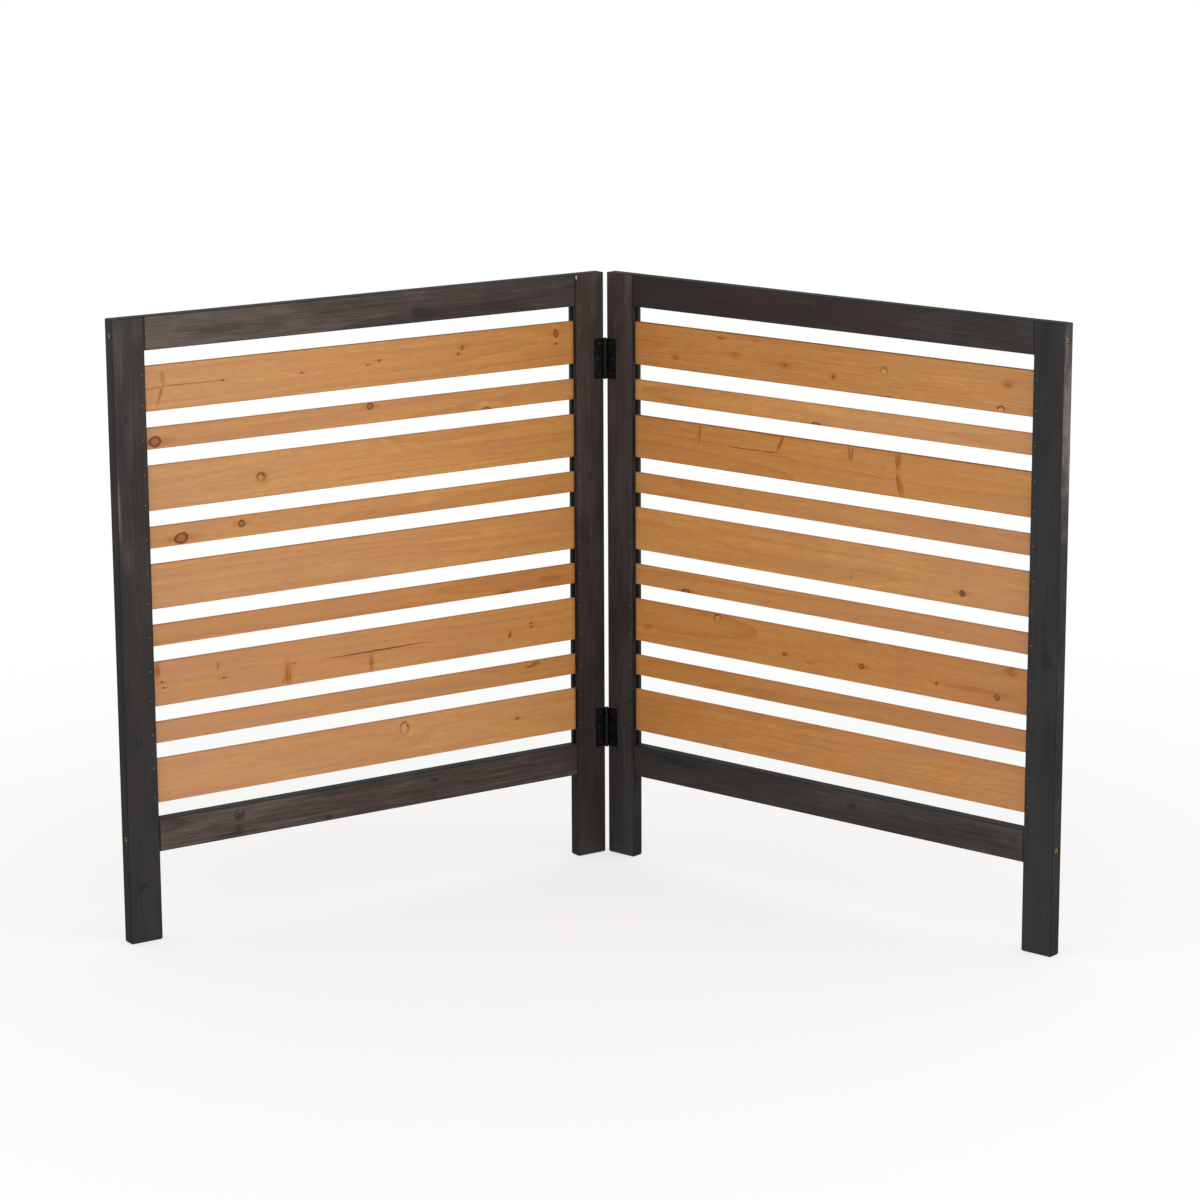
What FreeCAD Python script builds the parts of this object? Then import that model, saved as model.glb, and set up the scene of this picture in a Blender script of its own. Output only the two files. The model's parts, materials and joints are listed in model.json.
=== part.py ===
"""Folding slatted screen for an outdoor air conditioner: two framed panels on a pair of butt hinges.

Each panel is drawn once in its own flat frame and placed twice. In that frame U runs along the panel
from the hinge axis to the outer end, W runs from the hinge axis towards the back of the panel, and Z is
up from the floor. The right panel is the flat panel swung round the hinge axis, and the left panel is
its mirror image. The finished part stands on the floor with its origin under the middle of its box.
"""

import FreeCAD
import Part

import math
import os

# Panel
PANEL_HEIGHT = 950.0
PANEL_WIDTH = 861.0
PANEL_ANGLE_DEGREES = 105.5
POST_TO_AXIS = 0.85
FOOT_CLEARANCE = 138.0

# Frame boards
POST_WIDTH = 52.5
POST_THICKNESS = 21.0
POST_ARRIS_RADIUS = 1.0
FOOT_ARRIS_RADIUS = 3.5
RAIL_HEIGHT = 50.0
RAIL_SETBACK = 0.5
RAIL_ARRIS_RADIUS = 1.0
TONGUE_SHOULDER = 8.0

# Slats, wide and narrow by turns from the top, with a wide one at each end
WIDE_SLAT_COUNT = 5
WIDE_SLAT_HEIGHT = 68.0
NARROW_SLAT_HEIGHT = 32.4
SLAT_THICKNESS = 6.8
SLAT_ARRIS_RADIUS = 1.2
GROOVE_DEPTH = 12.0
GROOVE_SIDE_CLEARANCE = 0.1
GROOVE_END_CLEARANCE = 0.5

# Brads that pin the slats through the front cheek of the groove
BRAD_DIAMETER = 1.4
BRAD_HEAD_DIAMETER = 2.2
BRAD_HEAD_HEIGHT = 0.8
BRAD_LENGTH = 12.5
BRAD_TIP_LENGTH = 1.5
BRAD_SET_DEPTH = 0.2
BRAD_FROM_POST_EDGE = 6.0
BRAD_FROM_SLAT_EDGE = 11.5

# Long screws that draw the posts onto the rails
RAIL_SCREW_DIAMETER = 4.5
RAIL_SCREW_HEAD_DIAMETER = 8.6
RAIL_SCREW_HEAD_HEIGHT = 3.0
RAIL_SCREW_HEAD_CHAMFER = 0.6
RAIL_SCREW_LENGTH = 80.0
RAIL_SCREW_TIP_LENGTH = 6.0
COUNTERBORE_DIAMETER = 10.0
COUNTERBORE_DEPTH = 3.8

# Butt hinges
HINGE_LENGTH = 63.5
HINGE_KNUCKLES = 5
LEAF_REACH = 19.0
LEAF_THICKNESS = 1.4
KNUCKLE_GAP = 0.3
LEAF_NOTCH_CLEARANCE = 0.4
PIN_DIAMETER = 3.8
PIN_RUNNING_CLEARANCE = 0.05
PIN_HEAD_DIAMETER = 5.6
PIN_HEAD_HEIGHT = 1.4
UPPER_HINGE_DROP = 137.0
LOWER_HINGE_RISE = 211.0

# Countersunk screws that hold the leaves
LEAF_SCREW_DIAMETER = 3.0
LEAF_SCREW_HEAD_DIAMETER = 5.4
LEAF_SCREW_LENGTH = 16.0
LEAF_SCREW_TIP_LENGTH = 3.0
LEAF_SCREW_SPACING = 24.0
LEAF_SCREW_END_FROM_AXIS = 10.5
LEAF_SCREW_MIDDLE_FROM_AXIS = 13.0

# Cross recess in the screw heads, as shares of the head
RECESS_SPAN_SHARE = 0.62
RECESS_WIDTH_SHARE = 0.17
RECESS_DEPTH_SHARE = 0.6

# Fits and cuts
FASTENER_CLEARANCE = 0.05
CUT_OVERRUN = 1.0

# Derived places
KNUCKLE_RADIUS = PIN_DIAMETER / 2 + PIN_RUNNING_CLEARANCE + LEAF_THICKNESS
FRONT_W = KNUCKLE_RADIUS
MIDDLE_W = FRONT_W + POST_THICKNESS / 2
HINGE_POST_EDGE_U = POST_TO_AXIS + POST_WIDTH
OUTER_POST_EDGE_U = POST_TO_AXIS + PANEL_WIDTH - POST_WIDTH
RAIL_LEVELS = (FOOT_CLEARANCE, PANEL_HEIGHT - RAIL_HEIGHT)
HINGE_LEVELS = {"upper": PANEL_HEIGHT - UPPER_HINGE_DROP, "lower": LOWER_HINGE_RISE}
GROOVE_WIDTH = SLAT_THICKNESS + 2 * GROOVE_SIDE_CLEARANCE
SWING_DEGREES = (180.0 - PANEL_ANGLE_DEGREES) / 2

ALONG = FreeCAD.Vector(1, 0, 0)
BACKWARD = FreeCAD.Vector(0, 1, 0)
UPWARD = FreeCAD.Vector(0, 0, 1)
ORIGIN = FreeCAD.Vector(0, 0, 0)
PARALLEL_TOLERANCE = 1e-6


# Shape helpers

def block(u_range, w_range, z_range):
    """A box between two values on each axis, given in either order."""
    lows = [min(pair) for pair in (u_range, w_range, z_range)]
    sizes = [max(pair) - min(pair) for pair in (u_range, w_range, z_range)]
    return Part.makeBox(*sizes, FreeCAD.Vector(*lows))


def rounded_along(shape, radius):
    """The box with its four edges along the panel rounded."""
    chosen = []
    for edge in shape.Edges:
        run = edge.tangentAt(edge.FirstParameter)
        if run.cross(ALONG).Length < PARALLEL_TOLERANCE:
            chosen.append(edge)
    return shape.makeFillet(radius, chosen)


def turned(outline):
    """A solid turned about its own Z axis from (radius, height) points that start and end on the axis."""
    points = [FreeCAD.Vector(radius, 0, height) for radius, height in outline]
    return Part.Face(Part.makePolygon(points + points[:1])).revolve(ORIGIN, UPWARD, 360)


def aimed(shape, point, direction):
    """A copy of a turned shape, moved to a point with its Z axis along a direction."""
    copy = shape.copy()
    copy.Placement = FreeCAD.Placement(point, FreeCAD.Rotation(UPWARD, direction))
    return copy


def with_cross_recess(screw, head_diameter, head_height):
    """The screw with a cross cut into the face of its head, which lies at height zero."""
    half_span = head_diameter * RECESS_SPAN_SHARE / 2
    half_width = head_diameter * RECESS_WIDTH_SHARE / 2
    depths = (-CUT_OVERRUN, head_height * RECESS_DEPTH_SHARE)
    bars = [
        block((-half_span, half_span), (-half_width, half_width), depths),
        block((-half_width, half_width), (-half_span, half_span), depths),
    ]
    return screw.cut(bars[0].fuse(bars[1]).removeSplitter())


# Fasteners, each with its head's face at height zero and its tip towards +Z

def brad(clearance=0.0):
    """A headed finish nail, or with a clearance the hole it sits in."""
    shank = BRAD_DIAMETER / 2 + clearance
    head = BRAD_HEAD_DIAMETER / 2 + clearance
    mouth = -BRAD_SET_DEPTH - CUT_OVERRUN if clearance else 0.0
    tip_start = BRAD_LENGTH - BRAD_TIP_LENGTH
    tip = BRAD_LENGTH + clearance
    return turned([(0, mouth), (head, mouth), (head, BRAD_HEAD_HEIGHT), (shank, BRAD_HEAD_HEIGHT),
                   (shank, tip_start), (0, tip)])


def rail_screw():
    """A long wood screw with a flat bearing under its head and a cross recess."""
    head = RAIL_SCREW_HEAD_DIAMETER / 2
    shank = RAIL_SCREW_DIAMETER / 2
    length = RAIL_SCREW_HEAD_HEIGHT + RAIL_SCREW_LENGTH
    chamfer = RAIL_SCREW_HEAD_CHAMFER
    screw = turned([(0, 0), (head - chamfer, 0), (head, chamfer), (head, RAIL_SCREW_HEAD_HEIGHT),
                    (shank, RAIL_SCREW_HEAD_HEIGHT), (shank, length - RAIL_SCREW_TIP_LENGTH), (0, length)])
    return with_cross_recess(screw, RAIL_SCREW_HEAD_DIAMETER, RAIL_SCREW_HEAD_HEIGHT)


def rail_screw_hole():
    """The counterbored hole of a rail screw, measured from the same head face as the screw."""
    shank = RAIL_SCREW_DIAMETER / 2 + FASTENER_CLEARANCE
    bore = COUNTERBORE_DIAMETER / 2
    seat = RAIL_SCREW_HEAD_HEIGHT
    mouth = seat - COUNTERBORE_DEPTH - CUT_OVERRUN
    length = seat + RAIL_SCREW_LENGTH + FASTENER_CLEARANCE
    return turned([(0, mouth), (bore, mouth), (bore, seat), (shank, seat),
                   (shank, length - RAIL_SCREW_TIP_LENGTH), (0, length)])


def leaf_screw():
    """A countersunk wood screw with a cross recess."""
    head = LEAF_SCREW_HEAD_DIAMETER / 2
    shank = LEAF_SCREW_DIAMETER / 2
    cone = head - shank
    screw = turned([(0, 0), (head, 0), (shank, cone), (shank, LEAF_SCREW_LENGTH - LEAF_SCREW_TIP_LENGTH),
                    (0, LEAF_SCREW_LENGTH)])
    return with_cross_recess(screw, LEAF_SCREW_HEAD_DIAMETER, cone)


def leaf_screw_hole():
    """The countersunk hole of a leaf screw, opened out in front of the leaf."""
    head = LEAF_SCREW_HEAD_DIAMETER / 2 + FASTENER_CLEARANCE
    shank = LEAF_SCREW_DIAMETER / 2 + FASTENER_CLEARANCE
    length = LEAF_SCREW_LENGTH + FASTENER_CLEARANCE
    return turned([(0, -CUT_OVERRUN), (head, -CUT_OVERRUN), (head, 0), (shank, head - shank),
                   (shank, length - LEAF_SCREW_TIP_LENGTH), (0, length)])


# Where things go on the flat panel

def slat_rows():
    """(bottom, height, brad levels) of each slat from the top down, with equal gaps between the two rails.

    A wide slat takes two brads at each end, and a narrow one takes one.
    """
    wide_turns = [index % 2 == 0 for index in range(2 * WIDE_SLAT_COUNT - 1)]
    heights = [WIDE_SLAT_HEIGHT if wide else NARROW_SLAT_HEIGHT for wide in wide_turns]
    opening_bottom = RAIL_LEVELS[0] + RAIL_HEIGHT
    opening_top = RAIL_LEVELS[1]
    gap = (opening_top - opening_bottom - sum(heights)) / (len(heights) + 1)
    rows = []
    top = opening_top
    for wide, height in zip(wide_turns, heights):
        top -= gap
        bottom = top - height
        if wide:
            brad_levels = [bottom + BRAD_FROM_SLAT_EDGE, top - BRAD_FROM_SLAT_EDGE]
        else:
            brad_levels = [bottom + height / 2]
        rows.append((bottom, height, brad_levels))
        top = bottom
    return rows


def brad_columns():
    """U of the brads in the hinge post and in the outer post."""
    return HINGE_POST_EDGE_U - BRAD_FROM_POST_EDGE, OUTER_POST_EDGE_U + BRAD_FROM_POST_EDGE


def set_brads(shape, columns, levels):
    """Copies of a brad, or of its hole, driven in from the front face."""
    face_w = FRONT_W + BRAD_SET_DEPTH
    return [aimed(shape, FreeCAD.Vector(u, face_w, z), BACKWARD) for u in columns for z in levels]


def set_rail_screws(shape, outward):
    """Copies of a rail screw, or of its hole, in one post.

    The sign outward is +1 in the outer post and -1 in the hinge post, as it is for the post itself.
    """
    edge_u = OUTER_POST_EDGE_U if outward > 0 else HINGE_POST_EDGE_U
    face_u = edge_u + outward * (POST_WIDTH - COUNTERBORE_DEPTH + RAIL_SCREW_HEAD_HEIGHT)
    inward = ALONG * -outward
    middles = [level + RAIL_HEIGHT / 2 for level in RAIL_LEVELS]
    return [aimed(shape, FreeCAD.Vector(face_u, MIDDLE_W, z), inward) for z in middles]


def set_leaf_screws(shape, centre_z):
    """Copies of a leaf screw, or of its hole, on one leaf: the middle one stands further from the pin."""
    face_w = FRONT_W - LEAF_THICKNESS
    places = [
        (LEAF_SCREW_END_FROM_AXIS, centre_z + LEAF_SCREW_SPACING),
        (LEAF_SCREW_MIDDLE_FROM_AXIS, centre_z),
        (LEAF_SCREW_END_FROM_AXIS, centre_z - LEAF_SCREW_SPACING),
    ]
    return [aimed(shape, FreeCAD.Vector(u, face_w, z), BACKWARD) for u, z in places]


# Boards

def eased_upright(body):
    """A post's block with its foot well rounded and its other arrises just broken."""
    at_foot = [edge for edge in body.Edges if edge.BoundBox.ZMax < PANEL_HEIGHT / 2]
    body = body.makeFillet(FOOT_ARRIS_RADIUS, at_foot)
    to_top = [edge for edge in body.Edges if edge.BoundBox.ZMax > PANEL_HEIGHT / 2]
    return body.makeFillet(POST_ARRIS_RADIUS, to_top)


def post(outward):
    """An upright with a stopped groove in the edge that faces the slats.

    The sign outward is +1 for the outer post and -1 for the hinge post.
    """
    edge_u = OUTER_POST_EDGE_U if outward > 0 else HINGE_POST_EDGE_U
    column = brad_columns()[1 if outward > 0 else 0]
    body = block(
        (edge_u, edge_u + outward * POST_WIDTH),
        (FRONT_W, FRONT_W + POST_THICKNESS),
        (0, PANEL_HEIGHT),
    )
    body = eased_upright(body)
    groove = block(
        (edge_u - outward * CUT_OVERRUN, edge_u + outward * GROOVE_DEPTH),
        (MIDDLE_W - GROOVE_WIDTH / 2, MIDDLE_W + GROOVE_WIDTH / 2),
        (RAIL_LEVELS[0] + TONGUE_SHOULDER - GROOVE_END_CLEARANCE,
         PANEL_HEIGHT - TONGUE_SHOULDER + GROOVE_END_CLEARANCE),
    )
    holes = set_rail_screws(rail_screw_hole(), outward)
    for _, _, brad_levels in slat_rows():
        holes += set_brads(brad(FASTENER_CLEARANCE), [column], brad_levels)
    if outward < 0:
        for centre_z in HINGE_LEVELS.values():
            holes += set_leaf_screws(leaf_screw_hole(), centre_z)
    return body.cut([groove] + holes)


def rail(bottom):
    """A cross rail with a stub tongue at each end that enters the grooves of the posts."""
    body = block(
        (HINGE_POST_EDGE_U, OUTER_POST_EDGE_U),
        (FRONT_W + RAIL_SETBACK, FRONT_W + POST_THICKNESS - RAIL_SETBACK),
        (bottom, bottom + RAIL_HEIGHT),
    )
    body = rounded_along(body, RAIL_ARRIS_RADIUS)
    reach = GROOVE_DEPTH - GROOVE_END_CLEARANCE
    tongue = block(
        (HINGE_POST_EDGE_U - reach, OUTER_POST_EDGE_U + reach),
        (MIDDLE_W - SLAT_THICKNESS / 2, MIDDLE_W + SLAT_THICKNESS / 2),
        (bottom + TONGUE_SHOULDER, bottom + RAIL_HEIGHT - TONGUE_SHOULDER),
    )
    holes = set_rail_screws(rail_screw_hole(), 1) + set_rail_screws(rail_screw_hole(), -1)
    return body.fuse(tongue).removeSplitter().cut(holes)


def slat(bottom, height, brad_levels):
    """A thin board whose ends stand in the grooves, drilled by its own brads."""
    reach = GROOVE_DEPTH - GROOVE_END_CLEARANCE
    body = block(
        (HINGE_POST_EDGE_U - reach, OUTER_POST_EDGE_U + reach),
        (MIDDLE_W - SLAT_THICKNESS / 2, MIDDLE_W + SLAT_THICKNESS / 2),
        (bottom, bottom + height),
    )
    body = rounded_along(body, SLAT_ARRIS_RADIUS)
    return body.cut(set_brads(brad(FASTENER_CLEARANCE), brad_columns(), brad_levels))


# Hinges, drawn about the pin

def knuckle_spans(centre_z, owner):
    """(bottom, top) of the knuckles that one leaf owns.

    The owner is 0 for the leaf that has both end knuckles, and 1 for the leaf between them.
    """
    pitch = HINGE_LENGTH / HINGE_KNUCKLES
    spans = []
    for index in range(owner, HINGE_KNUCKLES, 2):
        bottom = centre_z - HINGE_LENGTH / 2 + index * pitch
        low_gap = KNUCKLE_GAP / 2 if index > 0 else 0.0
        high_gap = KNUCKLE_GAP / 2 if index < HINGE_KNUCKLES - 1 else 0.0
        spans.append((bottom + low_gap, bottom + pitch - high_gap))
    return spans


def knuckle_outline():
    """The leaf's edge rolled round the pin: a plate on the post's face whose end curls to a full circle."""
    radius = KNUCKLE_RADIUS
    front = radius - LEAF_THICKNESS
    meet = math.sqrt(radius ** 2 - front ** 2)
    side_angle = math.atan2(front, meet) / 2 - math.pi / 4
    crown = FreeCAD.Vector(0, radius, 0)
    below = FreeCAD.Vector(0, -radius, 0)
    joint = FreeCAD.Vector(meet, front, 0)
    far_back = FreeCAD.Vector(LEAF_REACH, radius, 0)
    far_front = FreeCAD.Vector(LEAF_REACH, front, 0)
    first_arc = Part.Arc(crown, FreeCAD.Vector(-radius, 0, 0), below)
    side = FreeCAD.Vector(radius * math.cos(side_angle), radius * math.sin(side_angle), 0)
    second_arc = Part.Arc(below, side, joint)
    edges = [Part.LineSegment(far_back, crown), first_arc, second_arc,
             Part.LineSegment(joint, far_front), Part.LineSegment(far_front, far_back)]
    return Part.Face(Part.Wire([edge.toShape() for edge in edges]))


def leaf(centre_z, owner):
    """One hinge leaf: a plate notched for the other leaf's knuckles, its own rolled from the edge."""
    bottom = centre_z - HINGE_LENGTH / 2
    plate = block(
        (KNUCKLE_RADIUS + LEAF_NOTCH_CLEARANCE, LEAF_REACH),
        (FRONT_W - LEAF_THICKNESS, FRONT_W),
        (bottom, bottom + HINGE_LENGTH),
    )
    outline = knuckle_outline()
    rolls = []
    for low, high in knuckle_spans(centre_z, owner):
        rolls.append(outline.extrude(UPWARD * (high - low)).translate(UPWARD * low))
    bore = Part.makeCylinder(
        PIN_DIAMETER / 2 + PIN_RUNNING_CLEARANCE,
        HINGE_LENGTH + 2 * CUT_OVERRUN,
        UPWARD * (bottom - CUT_OVERRUN),
    )
    body = plate.fuse(rolls).removeSplitter()
    return body.cut([bore] + set_leaf_screws(leaf_screw_hole(), centre_z))


def hinge_pin(centre_z):
    """The pin with a low crowned head on each end, resting on the end knuckles."""
    shank = PIN_DIAMETER / 2
    head = PIN_HEAD_DIAMETER / 2
    half = HINGE_LENGTH / 2
    crown = half + PIN_HEAD_HEIGHT
    rim = half + PIN_HEAD_HEIGHT / 2
    pin = turned([(0, -crown), (shank, -crown), (head, -rim), (head, -half), (shank, -half),
                  (shank, half), (head, half), (head, rim), (shank, crown), (0, crown)])
    return pin.translate(UPWARD * centre_z)


# Placing

def axis_y():
    """Y of the hinge axis that puts the origin in the middle of the standing screen's depth."""
    swing = math.radians(SWING_DEGREES)
    radius = POST_ARRIS_RADIUS
    nearest_u = POST_TO_AXIS + PANEL_WIDTH - radius
    nearest = (FRONT_W + radius) * math.cos(swing) - nearest_u * math.sin(swing) - radius
    furthest_u = POST_TO_AXIS + radius
    furthest_w = FRONT_W + POST_THICKNESS - radius
    furthest = furthest_w * math.cos(swing) - furthest_u * math.sin(swing) + radius
    return -(nearest + furthest) / 2


def placed(shape, side):
    """The flat panel's shape swung to its standing angle, on the left or the right of the hinge axis."""
    copy = shape.copy()
    copy.rotate(ORIGIN, UPWARD, -SWING_DEGREES)
    if side == "left":
        copy = copy.mirror(ORIGIN, ALONG)
    copy.translate(BACKWARD * axis_y())
    return copy


def panel_pieces():
    """The pieces that both panels have, by name, on the flat panel."""
    rows = slat_rows()
    pieces = {
        "outer_post": post(1),
        "hinge_post": post(-1),
        "top_rail": rail(RAIL_LEVELS[1]),
        "bottom_rail": rail(RAIL_LEVELS[0]),
    }
    brads = []
    for number, (bottom, height, brad_levels) in enumerate(rows, start=1):
        pieces[f"slat_{number}"] = slat(bottom, height, brad_levels)
        brads += set_brads(brad(), brad_columns(), brad_levels)
    pieces["slat_brads"] = Part.makeCompound(brads)
    rail_screws = set_rail_screws(rail_screw(), 1) + set_rail_screws(rail_screw(), -1)
    pieces["rail_screws"] = Part.makeCompound(rail_screws)
    leaf_screws = []
    for centre_z in HINGE_LEVELS.values():
        leaf_screws += set_leaf_screws(leaf_screw(), centre_z)
    pieces["hinge_screws"] = Part.makeCompound(leaf_screws)
    return pieces


def all_nodes():
    """Every node of the part, in place."""
    nodes = {}
    for name, shape in panel_pieces().items():
        for side in ("left", "right"):
            nodes[f"{side}_{name}"] = placed(shape, side)
    for level, centre_z in HINGE_LEVELS.items():
        nodes[f"{level}_hinge_left_leaf"] = placed(leaf(centre_z, 0), "left")
        nodes[f"{level}_hinge_right_leaf"] = placed(leaf(centre_z, 1), "right")
        nodes[f"{level}_hinge_pin"] = placed(hinge_pin(centre_z), "left")
    return nodes


def main():
    os.makedirs("parts", exist_ok=True)
    for name, shape in all_nodes().items():
        shape.exportStep(f"parts/{name}.step")
        print(f"{name}: {len(shape.Solids)} solids, {shape.Volume / 1000:.2f} cm3, valid {shape.isValid()}")
    print(f"hinge axis at y {axis_y():.4f} mm, swing {SWING_DEGREES} degrees")


main()
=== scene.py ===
"""Finishes and stage for a folding slatted air conditioner screen.

The timber and ironwork are the frame's own nodes. Each board gets its own stained softwood, drawn in the
board's own directions: along its grain, across its face and through its thickness, in millimetres.
"""

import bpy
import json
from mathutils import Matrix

bl_info = {
    "name": "Slatted screen finishes",
    "version": (1, 0, 0),
    "blender": (4, 5, 0),
    "location": "View3D > Sidebar > Screen",
    "description": "Stains the boards, blackens the hinges and stages a folding slatted screen",
    "category": "Object",
}

import json
import math

import bmesh
import bpy
from bpy.props import FloatProperty, FloatVectorProperty, PointerProperty
from mathutils import Matrix, Vector

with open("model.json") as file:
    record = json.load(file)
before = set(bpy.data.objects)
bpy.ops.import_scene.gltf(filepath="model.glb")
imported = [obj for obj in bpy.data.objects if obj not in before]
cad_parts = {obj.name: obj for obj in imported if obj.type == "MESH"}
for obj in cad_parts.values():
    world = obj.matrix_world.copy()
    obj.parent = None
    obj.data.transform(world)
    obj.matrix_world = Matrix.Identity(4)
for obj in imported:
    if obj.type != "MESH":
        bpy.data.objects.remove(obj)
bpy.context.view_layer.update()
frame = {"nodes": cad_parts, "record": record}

MM_PER_M = 1000.0
SIDES = ("left", "right")
SLAT_NUMBERS = range(1, 10)
POSTS = ("outer_post", "hinge_post")
RAILS = ("top_rail", "bottom_rail")

# Sizes on the boards in mm: how deep the rails' tongues stand in the posts, the dark seam beside each post,
# which is painted shade in the joint, the width over which it fades, the pitch of the planer's ripples and
# the soaked band along an edge.
TONGUE_LENGTH = 11.5
SEAM_WIDTH = 2.2
SEAM_FADE = 0.6
PLANER_PITCH = 5.0
SOAKED_BAND = 1.6

# Marks run right through a board: this depth in mm is far more than any board's thickness.
MARK_DEPTH = 1000.0
# A distance, in sizes of a mark, at which nothing of it shows.
FAR_FROM_MARKS = 9.0

# The year rings: the tree's heart lies up to so many half widths beside the board's middle, behind it by the
# nearest distance and up to the spread more, in mm, and leans by a slope. The lines stray by depths in mm.
HEART_ASIDE = 1.4
HEART_NEAREST = 60.0
HEART_SPREAD = 130.0
HEART_LEAN = 0.006
WANDER_DEPTH = 8.0
RIPPLE_DEPTH = 2.4
SWAY_DEPTH = 9.0
# The power that a season's darkening follows, and how fast the rings' strength changes from year to year.
LATE_SHARPNESS = 2.6
VIGOUR_SCALE = 0.43
# The planed grain's relief in metres.
GRAIN_RELIEF = 0.0002

# A slat's tone before its shade and its noises are added, the noises' mean in a frame board's thinness, and
# how strong they are on the posts, which are planed from calmer timber than the rails.
SLAT_TONE_BASE = -0.53
FRAME_NOISE_MEAN = 0.65
POST_FIGURE = 0.7

# Each board's noises have a seed: the slats count from their number, the frame boards from a start of their
# own, and those of the right panel a step further on.
SLAT_SEED_STEP = 20
FRAME_SEED_START = 50
FRAME_SEED_STEP = 10

# Strokes waver by these depths in mm, and these shares of their widths have their full strength.
SPIKE_WAVER = 9.0
SPIKE_CORE = 0.1
CRACK_WAVER = 3.0
CRACK_CORE = 0.5

# A Mix node of colours. Its sockets share their names with others, so they are given by number.
COLOUR_MIX = {"out": 2, "data_type": "RGBA"}
SHARE = 0
UNDER = 6
OVER = 7

# The hinge joint gives the line that both panels swing about and the angle between them at rest.
FOLD = frame["record"]["behaviour"]["joints"][0]
HINGE_AXIS = Vector(FOLD["pos_m"]) * Vector((1, 1, 0))
PANEL_SWING = math.radians(180 + FOLD["range_deg"][0]) / 2

# Marks in the timber, in mm from the middle of the board as it is seen from the open side of the V. On a
# post, along is up and across is to the left. Oval marks are (along, across, width, height, tilt in degrees).
SOLID_KNOTS = {
    "left_slat_1": [
        (-247, 1, 5, 4, 0), (-112, -1, 5, 4, 0), (23, 5, 6, 5, 0), (3, 0, 4, 4, 0),
        (172, 11, 5, 8, -20), (165, 2, 5, 5, 0), (345, 17, 7, 13, 15), (345, 1, 6, 5, 0),
    ],
    "left_slat_2": [(-362, -5, 20, 15, 0), (6, 10.5, 11, 10, 0), (215, -16.5, 15, 9, 0)],
    "left_slat_3": [(-183, 0, 6, 6, 0)],
    "left_slat_4": [(-323, -6, 22, 16, 8), (-221, 4, 11, 11, 0)],
    "left_slat_6": [(247, -15, 12, 4, 0)],
    "left_slat_7": [
        (-363, 2, 5, 4, 0), (-360, -7, 5, 4, 0), (-258, -6, 6, 4, 0), (-137, -1, 4, 3, 0),
        (255, -11, 4, 6, -15), (294, 4, 4, 4, 0), (295, -2, 4, 4, 0),
    ],
    "left_slat_9": [(267, 1, 7, 5, 20)],
    "right_slat_1": [(12, -13, 6, 6, 0), (115, -33, 9, 4, 0), (-81, -5, 5, 4, 0)],
    "right_slat_2": [(-20, -15, 16, 6, 0)],
    "right_slat_5": [(255, -15, 10, 10, 0), (255, -15, 6, 6, 0)],
    "right_slat_6": [(-275, -14, 15, 8, 0)],
    "right_slat_7": [(-77, -11, 7, 6, 0), (71, -7, 9, 9, 0), (211, -11, 6, 6, -30), (321, -15, 9, 9, 0)],
    "left_top_rail": [(92, -11, 14, 16, 0)],
    "left_bottom_rail": [
        (-241, 8, 12, 18, 0), (-241, -12, 10, 10, 0), (107, 9, 10, 8, 0), (-85, -20, 10, 8, 0),
    ],
    "right_top_rail": [(-26, 2, 12, 9, 30)],
    "right_bottom_rail": [(60, 4, 13, 14, 0), (-269, 12, 16, 8, 0)],
    "left_outer_post": [(327, 7, 9, 9, 0), (-165, 4, 14, 16, 0), (-388, 4, 14, 16, 0)],
    "left_hinge_post": [(150, 0, 12, 6, 30), (-177, -9, 8, 5, 0), (-398, 0, 9, 7, 0)],
    "right_outer_post": [(-24, -6, 18, 20, 0)],
}

# A knot no larger than this in mm is a pin knot, dark all over.
PIN_KNOT_SIZE = 6.0

# Knots that show as an outline round paler wood.
RING_KNOTS = {
    "left_slat_3": [(-186, -3, 13, 12, 0)],
    "left_slat_9": [(57, 16, 14, 20, 0)],
    "right_slat_1": [(106, 5, 12, 11, 0), (318, -29, 12, 9, 0)],
    "right_slat_7": [(-210, 27, 13, 11, 0)],
}

# Knots that lie under the face and only tint it.
SUNKEN_KNOTS = {
    "left_slat_3": [(-185, -3, 22, 18, 0)],
    "left_slat_6": [(247, -13, 36, 10, 0), (329, -2, 44, 12, 0)],
    "left_slat_7": [(-370, 20, 12, 24, 0), (0, -18, 9, 28, 0), (-148, -14, 14, 40, 0)],
    "right_slat_1": [
        (-176, 2, 26, 9, 0), (-81, -5, 26, 12, 0), (-297, -15, 16, 10, 0), (330, 9, 22, 14, 0),
        (11, -13, 20, 10, 0),
    ],
    "right_slat_3": [(136, 18, 9, 30, -10), (138, -15, 10, 34, 14)],
    "right_slat_5": [(49, -19, 7, 7, 0)],
    "right_slat_7": [
        (-28, -16, 20, 6, 0), (-352, -7, 14, 9, 0), (63, 32, 34, 8, 0), (344, 28, 28, 16, 0),
        (288, -10, 150, 9, 0),
    ],
    "right_slat_9": [(-196, -28, 7, 6, 0)],
    "left_top_rail": [(100, -14, 34, 14, 0)],
    "right_bottom_rail": [(-269, 14, 150, 18, 0)],
}

# Pale wood over a knot that the saw just missed.
PALE_EYES = {
    "left_slat_2": [(213, -9, 48, 14, 0)],
    "left_slat_4": [(98, 4, 42, 12, 0)],
    "left_slat_9": [(73, 8, 26, 14, 0)],
}

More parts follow.
